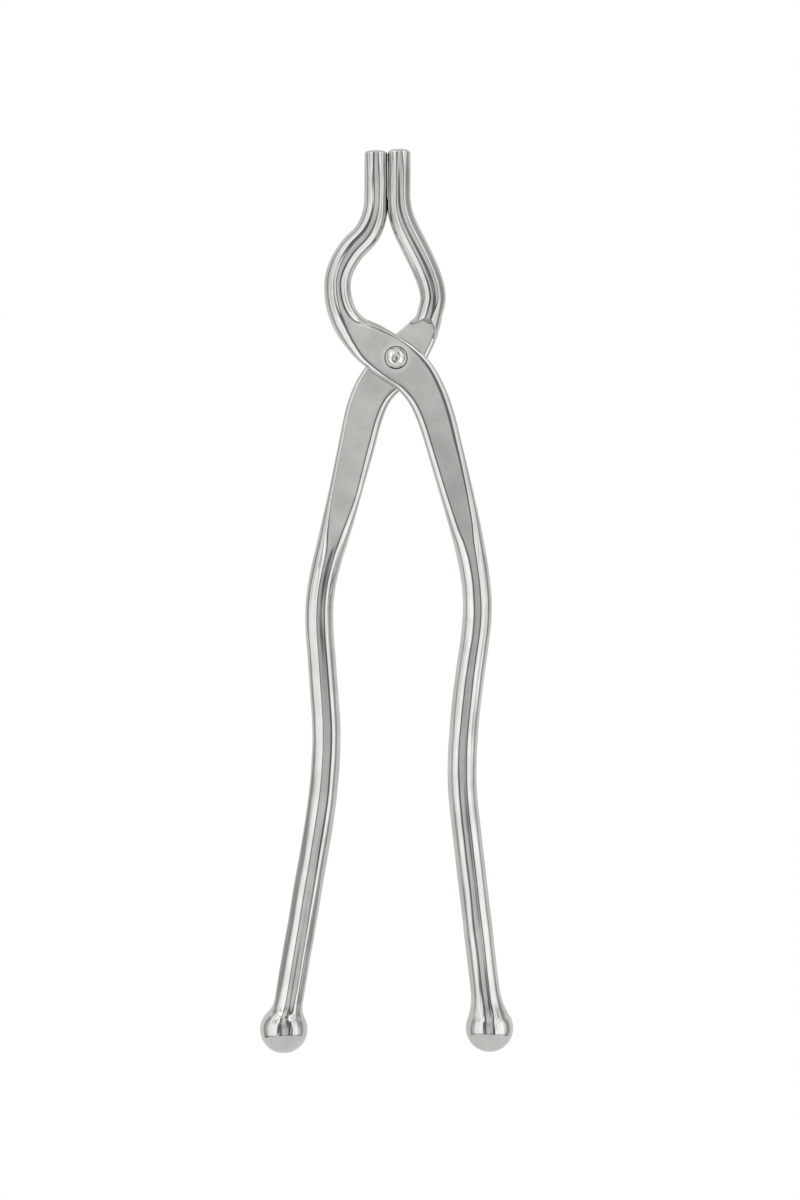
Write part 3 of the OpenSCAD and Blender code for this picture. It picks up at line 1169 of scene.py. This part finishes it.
@dataclass(frozen=True)
class Tent:
    """A light tent over the tongs: a half tube along them, lit in long strips.

    The strips are greys by the angle from overhead, in degrees, east of it being positive. The
    seams are darker lines at some angles, over the jaws. The camera spot is the dimmer middle:
    the radii between which it fades, and its share of the glow. The lift is the brighter north:
    where it starts, where it is full, and its factor on the glow. Beyond the rim, in the south,
    the tent is broken into dashes.
    """

    mid: float
    radius: float = 300.0
    half_angle: int = 108
    south: float = -322.0
    rim: float = -299.0
    north: float = 420.0
    camera_y: float = -66.8
    camera_spot: tuple[float, float, float] = (25.0, 115.0, 0.75)
    lift: tuple[float, float, float] = (60.0, 260.0, 1.25)
    strips: tuple[tuple[float, float], ...] = (
        (-108, 0.45), (-104, 0.40), (-95, 0.36), (-89, 0.60), (-82, 0.95), (-72, 1.20),
        (-54, 1.25), (-40, 1.40), (-33, 1.05), (-29, 0.40), (-26, 0.16), (-20, 0.20),
        (-15, 0.56), (-9, 0.77), (8, 0.76), (15, 0.64), (20, 0.32), (24, 0.14), (29, 0.17),
        (34, 0.80), (39, 1.35), (48, 1.20), (60, 1.35), (71, 1.40), (78, 1.0), (85, 0.66),
        (93, 0.36), (104, 0.40), (108, 0.45),
    )
    seams: tuple[tuple[float, float], ...] = ((-70, 0.40), (-51, 0.50), (53, 0.45), (67, 0.42))
    seam_half: float = 5.0
    seam_from: float = -120.0
    seam_to: float = 40.0
    rim_half: float = 4.0
    dash_scale: float = 45.0

    def build(self) -> None:
        """Makes the tent, which only the reflections see.

        A point at angle t from overhead lies at (r sin t, y, mid + r cos t).
        """
        turn = np.radians(np.linspace(-self.half_angle, self.half_angle, self.half_angle + 1))
        x, z = self.radius * np.sin(turn), self.mid + self.radius * np.cos(turn)
        rows = [np.stack([x, np.full_like(x, y), z], -1) for y in (self.south, self.north)]
        points = np.concatenate(rows) * MM
        low = np.arange(len(turn) - 1)
        faces = np.stack([low, low + 1, low + 1 + len(turn), low + len(turn)], -1)
        mesh = bpy.data.meshes.new("light_tent")
        mesh.from_pydata(points.tolist(), [], faces.tolist())
        mesh.shade_smooth()
        mesh.materials.append(self.cloth())
        tent = bpy.data.objects.new("light_tent", mesh)
        bpy.context.scene.collection.objects.link(tent)
        tent.visible_camera = False
        tent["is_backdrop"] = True

    def cloth(self) -> bpy.types.Material:
        """Makes the tent's glow.

        Returns:
            The material, which gives light only where a reflection meets it.
        """
        material = bpy.data.materials.new("light_tent")
        material.use_nodes = True
        material.cycles.emission_sampling = "NONE"
        nodes = Nodes(material.node_tree)
        place = nodes.object_place()
        x, y, z = nodes.add("ShaderNodeSeparateXYZ", {"Vector": place}).outputs
        turn = nodes.math("ARCTAN2", x, nodes.math("SUBTRACT", z, self.mid * MM))
        share = self.under_camera(nodes, x, y)
        strength = nodes.math("MULTIPLY", share, self.along(nodes, place, y))
        reach = nodes.ramp(y, self.seam_from * MM, self.seam_to * MM, 0.0, 1.0)
        half = float(np.radians(self.seam_half))
        for angle, grey in self.seams:
            off = nodes.math("ABSOLUTE", nodes.math("SUBTRACT", turn, float(np.radians(angle))))
            dark = nodes.math("MULTIPLY", nodes.ramp(off, half * 0.4, half, 1.0 - grey, 0.0), reach)
            strength = nodes.math("MULTIPLY", strength, nodes.math("SUBTRACT", 1.0, dark))
        inputs = {"Color": self.strip_grey(nodes, turn), "Strength": strength}
        light = nodes.add("ShaderNodeEmission", inputs)
        nodes.add("ShaderNodeOutputMaterial", {"Surface": light.outputs[0]})
        return material

    def strip_grey(self, nodes: Nodes, turn: bpy.types.NodeSocket) -> bpy.types.NodeSocket:
        """The strips' grey at an angle from overhead.

        Args:
            nodes: The material's nodes.
            turn: The angle, in radians.

        Returns:
            The grey, as a colour.
        """
        across = nodes.ramp(turn, -np.pi, np.pi, 0.0, 1.0, smooth=False)
        ramp = nodes.add("ShaderNodeValToRGB", {"Fac": across})
        stops = ramp.color_ramp.elements
        while len(stops) < len(self.strips):
            stops.new(0.5)
        for stop, (angle, grey) in zip(stops, self.strips):
            stop.position = (angle + 180) / 360
            stop.color = (grey, grey, grey, 1.0)
        return ramp.outputs[0]

    def under_camera(
        self, nodes: Nodes, x: bpy.types.NodeSocket, y: bpy.types.NodeSocket
    ) -> bpy.types.NodeSocket:
        """How bright the tent is near the camera, whose own shade dims it.

        Args:
            nodes: The material's nodes.
            x: The place across the tongs.
            y: The place along them.

        Returns:
            The share of the full glow.
        """
        beside = nodes.math("SUBTRACT", y, self.camera_y * MM)
        squares = [nodes.math("MULTIPLY", side, side) for side in (x, beside)]
        off = nodes.math("POWER", nodes.math("ADD", *squares), 0.5)
        inner, outer, grey = self.camera_spot
        return nodes.ramp(off, inner * MM, outer * MM, grey, 1.0)

    def along(
        self, nodes: Nodes, place: bpy.types.NodeSocket, y: bpy.types.NodeSocket
    ) -> bpy.types.NodeSocket:
        """How bright the tent is along its length: more to the north, broken at the south rim.

        Args:
            nodes: The material's nodes.
            place: The place on the tent.
            y: The place along the tongs.

        Returns:
            The factor on the glow.
        """
        start, end, bright = self.lift
        lifted = nodes.ramp(y, start * MM, end * MM, 1.0, bright)
        dashes = nodes.ramp(nodes.noise(place, self.dash_scale, 2.0), 0.45, 0.6, 0.2, 0.9)
        outer, inner = (self.rim - self.rim_half) * MM, (self.rim + self.rim_half) * MM
        inside = nodes.ramp(y, outer, inner, 0.0, 1.0)
        inputs = {0: inside, 2: dashes, 3: 1.0}
        ends = nodes.add("ShaderNodeMix", inputs, data_type="FLOAT").outputs[0]
        return nodes.math("MULTIPLY", lifted, ends)


@dataclass
class Studio:
    """The plain pale floor, the soft light round the tongs and the camera above them."""

    mid: float
    lens: float = 100.0
    sensor: float = 36.0
    view_height: float = 332.2
    centre: tuple[float, float] = (1.1, -66.8)
    floor_half: float = 3.0
    floor_drop: float = 0.05
    room: tuple[float, float, float] = (0.80, 0.78, 0.79)

    def build(self) -> None:
        """Makes the whole studio."""
        self.build_floor()
        self.build_world()
        Tent(self.mid).build()
        self.build_camera()
        scene = bpy.context.scene
        scene.view_settings.view_transform = "Standard"
        scene.view_settings.look = "None"

    def build_floor(self) -> None:
        """Makes a plain white floor just under the tongs, clear when seen from below."""
        half, z = self.floor_half, -self.floor_drop * MM
        corners = [(-half, -half, z), (half, -half, z), (half, half, z), (-half, half, z)]
        mesh = bpy.data.meshes.new("floor")
        mesh.from_pydata(corners, [], [(0, 1, 2, 3)])
        material = bpy.data.materials.new("floor_white")
        material.use_nodes = True
        nodes = Nodes(material.node_tree)
        white = nodes.add("ShaderNodeEmission", {"Strength": 1.0}).outputs[0]
        clear = nodes.add("ShaderNodeBsdfTransparent").outputs[0]
        behind = nodes.add("ShaderNodeNewGeometry").outputs["Backfacing"]
        seen = nodes.add("ShaderNodeMixShader", {0: behind, 1: white, 2: clear})
        nodes.add("ShaderNodeOutputMaterial", {"Surface": seen.outputs[0]})
        mesh.materials.append(material)
        floor = bpy.data.objects.new("floor", mesh)
        bpy.context.scene.collection.objects.link(floor)
        floor.visible_glossy = False
        floor.visible_diffuse = False
        floor.visible_shadow = False
        floor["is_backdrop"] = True

    def build_world(self) -> None:
        """Lights the room beyond the tent with one soft grey, and leaves the backdrop white."""
        world = bpy.data.worlds.new("studio")
        bpy.context.scene.world = world
        world.use_nodes = True
        nodes = Nodes(world.node_tree)
        light, plain = (
            nodes.add("ShaderNodeBackground", {"Color": (*colour, 1.0), "Strength": 1.0}).outputs[0]
            for colour in (self.room, (1.0, 1.0, 1.0))
        )
        straight = nodes.add("ShaderNodeLightPath").outputs["Is Camera Ray"]
        seen = nodes.add("ShaderNodeMixShader", {0: straight, 1: light, 2: plain})
        nodes.add("ShaderNodeOutputWorld", {"Surface": seen.outputs[0]})

    def build_camera(self) -> None:
        """Places the camera straight above the tongs, looking down.

        Its height is the view's height times the lens over the sensor.
        """
        data = bpy.data.cameras.new("camera")
        data.lens, data.sensor_width = self.lens, self.sensor
        camera = bpy.data.objects.new("camera", data)
        bpy.context.scene.collection.objects.link(camera)
        height = self.view_height * self.lens / self.sensor
        camera.location = Vector((self.centre[0], self.centre[1], self.mid + height)) * MM
        bpy.context.scene.camera = camera


# ---- The tongs ---------------------------------------------------------------------------


# How far from the pivot's axis the cut for the rivet makes new points at most; how far the drill
# stands out on each side of the plane where the arms meet; and its sides
NEAR_PIVOT, DRILL_REACH, DRILL_SIDES = 6.0, 12.0, 96


def points_of(mesh: bpy.types.Mesh, name: str) -> np.ndarray:
    """The vectors that a mesh keeps for its points.

    Args:
        mesh: The mesh.
        name: The attribute's name.

    Returns:
        One row for each point.
    """
    values = np.empty(len(mesh.vertices) * 3, np.float32)
    mesh.attributes[name].data.foreach_get("vector", values)
    return values.reshape(-1, 3)


def carried(old: np.ndarray, values: np.ndarray, new: np.ndarray) -> np.ndarray:
    """Values of old points for new ones, most of which lie just where an old one does.

    Args:
        old: The old points.
        values: One row for each old point.
        new: The new points; those with no old point in place are near the pivot's axis.

    Returns:
        The row of the old point in the same place, to a micrometre, or of the nearest one.
    """
    digits = np.array([1, 1 << 20, 1 << 40])
    old_key, new_key = (np.round(points * 1e6).astype(np.int64) @ digits for points in (old, new))
    order = np.argsort(old_key)
    found = order[np.clip(np.searchsorted(old_key[order], new_key), 0, len(old) - 1)]
    lost = np.flatnonzero(old_key[found] != new_key)
    around = np.flatnonzero(np.hypot(old[:, 0], old[:, 1]) < NEAR_PIVOT * MM)
    gap = np.linalg.norm(new[lost, None] - old[None, around], axis=-1)
    found[lost] = around[np.argmin(gap, axis=1)]
    return values[found]


def cut_bore(arm: Arm) -> None:
    """Cuts the hole for the rivet through an arm, and keeps the finish's places on the bar.

    Args:
        arm: The arm, built.
    """
    turn = 2 * np.pi * np.arange(DRILL_SIDES) / DRILL_SIDES
    circle = np.stack([np.cos(turn), np.sin(turn), 0 * turn], -1) * arm.bore / 2
    ends = np.array([[0, 0, arm.mid - DRILL_REACH], [0, 0, arm.mid + DRILL_REACH]])
    rings = circle + ends[:, None]
    drill = closed_mesh("drill", rings * MM, ends[0] * MM, ends[1] * MM)
    cut = arm.piece.modifiers.new("bore", "BOOLEAN")
    cut.operation, cut.object, cut.solver = "DIFFERENCE", drill, "EXACT"
    evaluated = arm.piece.evaluated_get(bpy.context.evaluated_depsgraph_get())
    bored = bpy.data.meshes.new_from_object(evaluated)
    arm.piece.modifiers.clear()
    whole = arm.piece.data
    before, after = points_of(whole, "position"), points_of(bored, "position")
    place = carried(before, points_of(whole, "bar_place"), after)
    bored.attributes.remove(bored.attributes["bar_place"])
    arm.piece.data = bored
    store_vectors(arm.piece, "bar_place", place)
    bpy.data.objects.remove(drill)


def main(cad_box: tuple[Vector, Vector]) -> None:
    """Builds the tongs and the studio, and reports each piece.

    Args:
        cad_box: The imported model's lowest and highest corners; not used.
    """
    logging.basicConfig(level=logging.INFO, format="%(name)s: %(message)s")
    mid = frame["joints"][0]["pos_m"][2] / MM
    steel = Finish(
        name="arm_steel_polished",
        dark=(0.59, 0.595, 0.57),
        light=(0.68, 0.685, 0.655),
        roughness=0.026,
        line_bump=0.5,
        uses_bar_place=True,
        ring=(2.95, 3.16, 0.07),
    )
    bright = Finish(
        name="rivet_steel_polished",
        dark=(0.60, 0.585, 0.56),
        light=(0.76, 0.745, 0.725),
        roughness=0.05,
        line_bump=0.3,
        uses_bar_place=False,
        ring=(2.95, 3.6, 0.08),
    )
    for arm in (rear_arm(mid), front_arm(mid)):
        arm.build()
        cut_bore(arm)
        arm.finish(steel)
        faces = len(arm.piece.data.polygons)
        LOG.info("%s: %d faces, rides on %s", arm.piece.name, faces, arm.body)
    rivet = PivotRivet(mid)
    rivet.build()
    rivet.finish(bright)
    faces = len(rivet.piece.data.polygons)
    LOG.info("%s: %d faces, rides on rear_half", rivet.piece.name, faces)
    Studio(mid).build()


if __name__ == "__main__":
    main(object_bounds())
